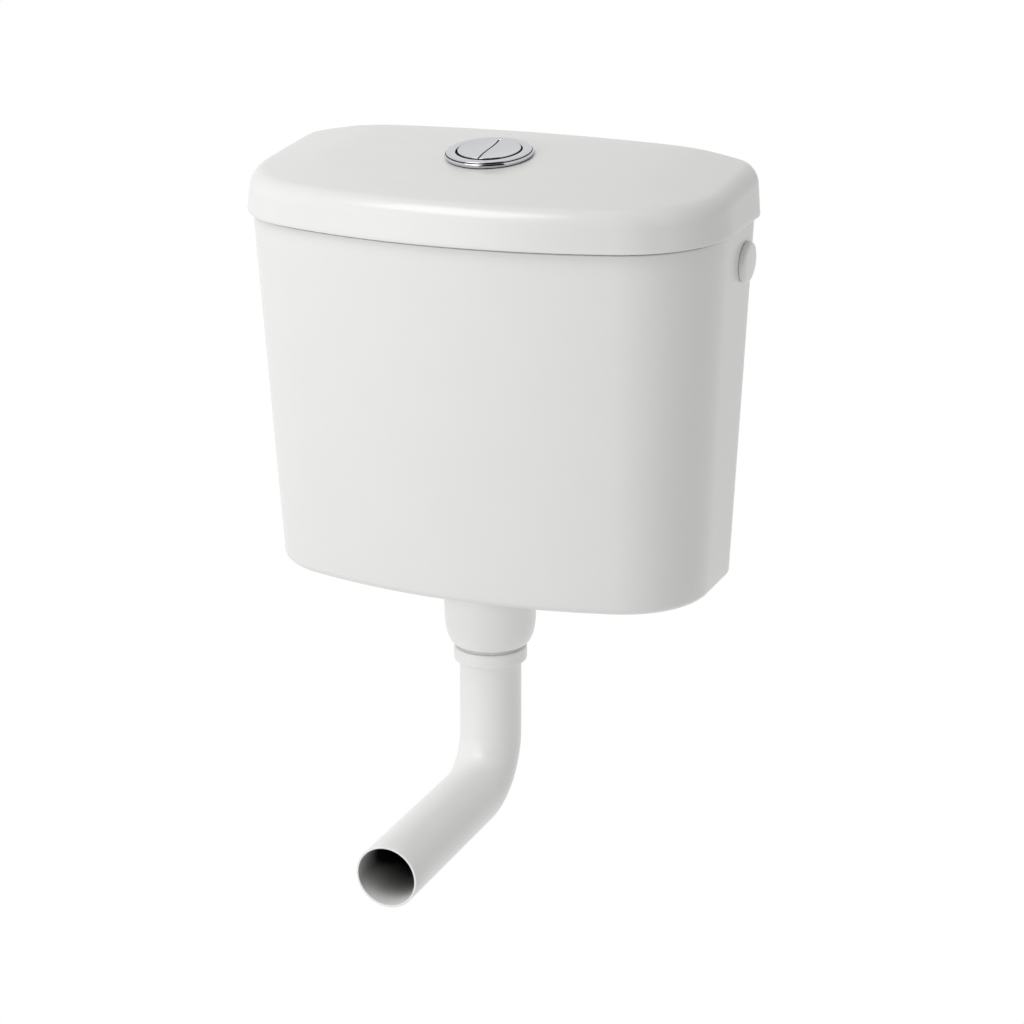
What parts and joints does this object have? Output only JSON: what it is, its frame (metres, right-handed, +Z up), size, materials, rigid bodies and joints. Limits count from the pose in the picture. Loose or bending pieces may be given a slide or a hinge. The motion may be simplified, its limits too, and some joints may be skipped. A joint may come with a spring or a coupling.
{
  "type": "toilet cistern",
  "caption": "Wall-hung plastic toilet cistern with domed lid, dual flush push button, flush valve, side-entry fill valve, blanking plug and a right-angle flush bend.",
  "frame": {"origin": "midway between the two wall-fixing holes, on the wall face at the back of the tank", "axes": "+X to the right seen from the front, +Y into the wall, +Z up"},
  "size_m": [0.4174, 0.2812, 0.5492],
  "materials": {
    "tank_abs": "glossy white moulded ABS",
    "pipe_pvc": "satin white moulded PVC",
    "chrome_plate": "polished chrome plate",
    "seal_rubber": "matt grey rubber",
    "spring_steel": "drawn wire",
    "lever_acetal": "matt moulded acetal",
    "valve_abs": "matt moulded ABS"
  },
  "bodies": {
    "tank": {"tank_body": "tank_abs", "outlet_washer": "seal_rubber", "valve_base": "valve_abs", "valve_back_nut": "valve_abs", "outlet_coupling": "pipe_pvc", "pipe_seal": "seal_rubber", "valve_tower": "valve_abs", "lever_pin": "spring_steel", "fill_valve_body": "valve_abs", "inlet_seal": "seal_rubber", "inlet_back_nut": "valve_abs", "arm_pin": "spring_steel", "fill_tube": "valve_abs", "blanking_plug": "pipe_pvc", "plug_seal": "seal_rubber", "plug_nut": "valve_abs"},
    "lid": {"lid": "tank_abs", "button_bezel": "chrome_plate", "bezel_nut": "valve_abs", "half_button_spring": "spring_steel", "full_button_spring": "spring_steel"},
    "half_button": {"half_flush_button": "chrome_plate", "half_push_rod": "valve_abs"},
    "full_button": {"full_flush_button": "chrome_plate", "full_push_rod": "valve_abs"},
    "half_lever": {"half_lever": "lever_acetal"},
    "full_lever": {"full_lever": "lever_acetal"},
    "half_sleeve": {"half_flush_sleeve": "valve_abs", "half_flush_float": "valve_abs"},
    "flush_tube": {"flush_tube": "valve_abs", "flush_seal": "seal_rubber", "tube_lift_yoke": "lever_acetal"},
    "float_arm": {"float_arm": "lever_acetal", "float_adjuster": "valve_abs", "fill_float": "valve_abs"},
    "plunger": {"valve_plunger": "lever_acetal"},
    "flush_bend": {"flush_bend": "pipe_pvc"}
  },
  "joints": [
    {"name": "lid_lift", "type": "slide", "parent": "tank", "child": "lid", "axis": [0, 0, 1], "range_m": [0, 0.12]},
    {"name": "half_button_press", "type": "slide", "parent": "lid", "child": "half_button", "axis": [0, 0, -1], "range_m": [0, 0.008], "stiffness_N_per_m": 400, "springref_m": -0.006, "deforming": ["half_button_spring"]},
    {"name": "full_button_press", "type": "slide", "parent": "lid", "child": "full_button", "axis": [0, 0, -1], "range_m": [0, 0.008], "stiffness_N_per_m": 400, "springref_m": -0.006, "deforming": ["full_button_spring"]},
    {"name": "half_lever_tilt", "type": "hinge", "parent": "tank", "child": "half_lever", "pos_m": [0, -0.078, 0.002], "axis": [0, -1, 0], "range_deg": [0, 29]},
    {"name": "full_lever_tilt", "type": "hinge", "parent": "tank", "child": "full_lever", "pos_m": [0, -0.078, 0.002], "axis": [0, 1, 0], "range_deg": [0, 29]},
    {"name": "half_sleeve_lift", "type": "slide", "parent": "tank", "child": "half_sleeve", "axis": [0, 0, 1], "range_m": [0, 0.008]},
    {"name": "flush_tube_lift", "type": "slide", "parent": "half_sleeve", "child": "flush_tube", "axis": [0, 0, 1], "range_m": [0, 0.008]},
    {"name": "float_arm_swing", "type": "hinge", "parent": "tank", "child": "float_arm", "pos_m": [-0.1149, -0.033, 0.00249], "axis": [0, -1, 0], "range_deg": [0, 30]},
    {"name": "valve_plunger_slide", "type": "slide", "parent": "tank", "child": "plunger", "axis": [-0.999, 0, -0.0454], "range_m": [0, 0.0063]},
    {"name": "flush_bend_swivel", "type": "hinge", "parent": "tank", "child": "flush_bend", "pos_m": [0, -0.078, -0.3], "axis": [0, 0, 1], "range_deg": [-90, 90]}
  ],
  "couplings": [
    {"joint": "half_lever_tilt", "follows": "half_button_press", "rad_per_m": 62.5},
    {"joint": "full_lever_tilt", "follows": "full_button_press", "rad_per_m": 62.5},
    {"joint": "half_sleeve_lift", "follows": "half_button_press", "ratio": 1},
    {"joint": "flush_tube_lift", "follows": "full_button_press", "ratio": 1},
    {"joint": "valve_plunger_slide", "follows": "float_arm_swing", "m_per_rad": 0.012}
  ]
}
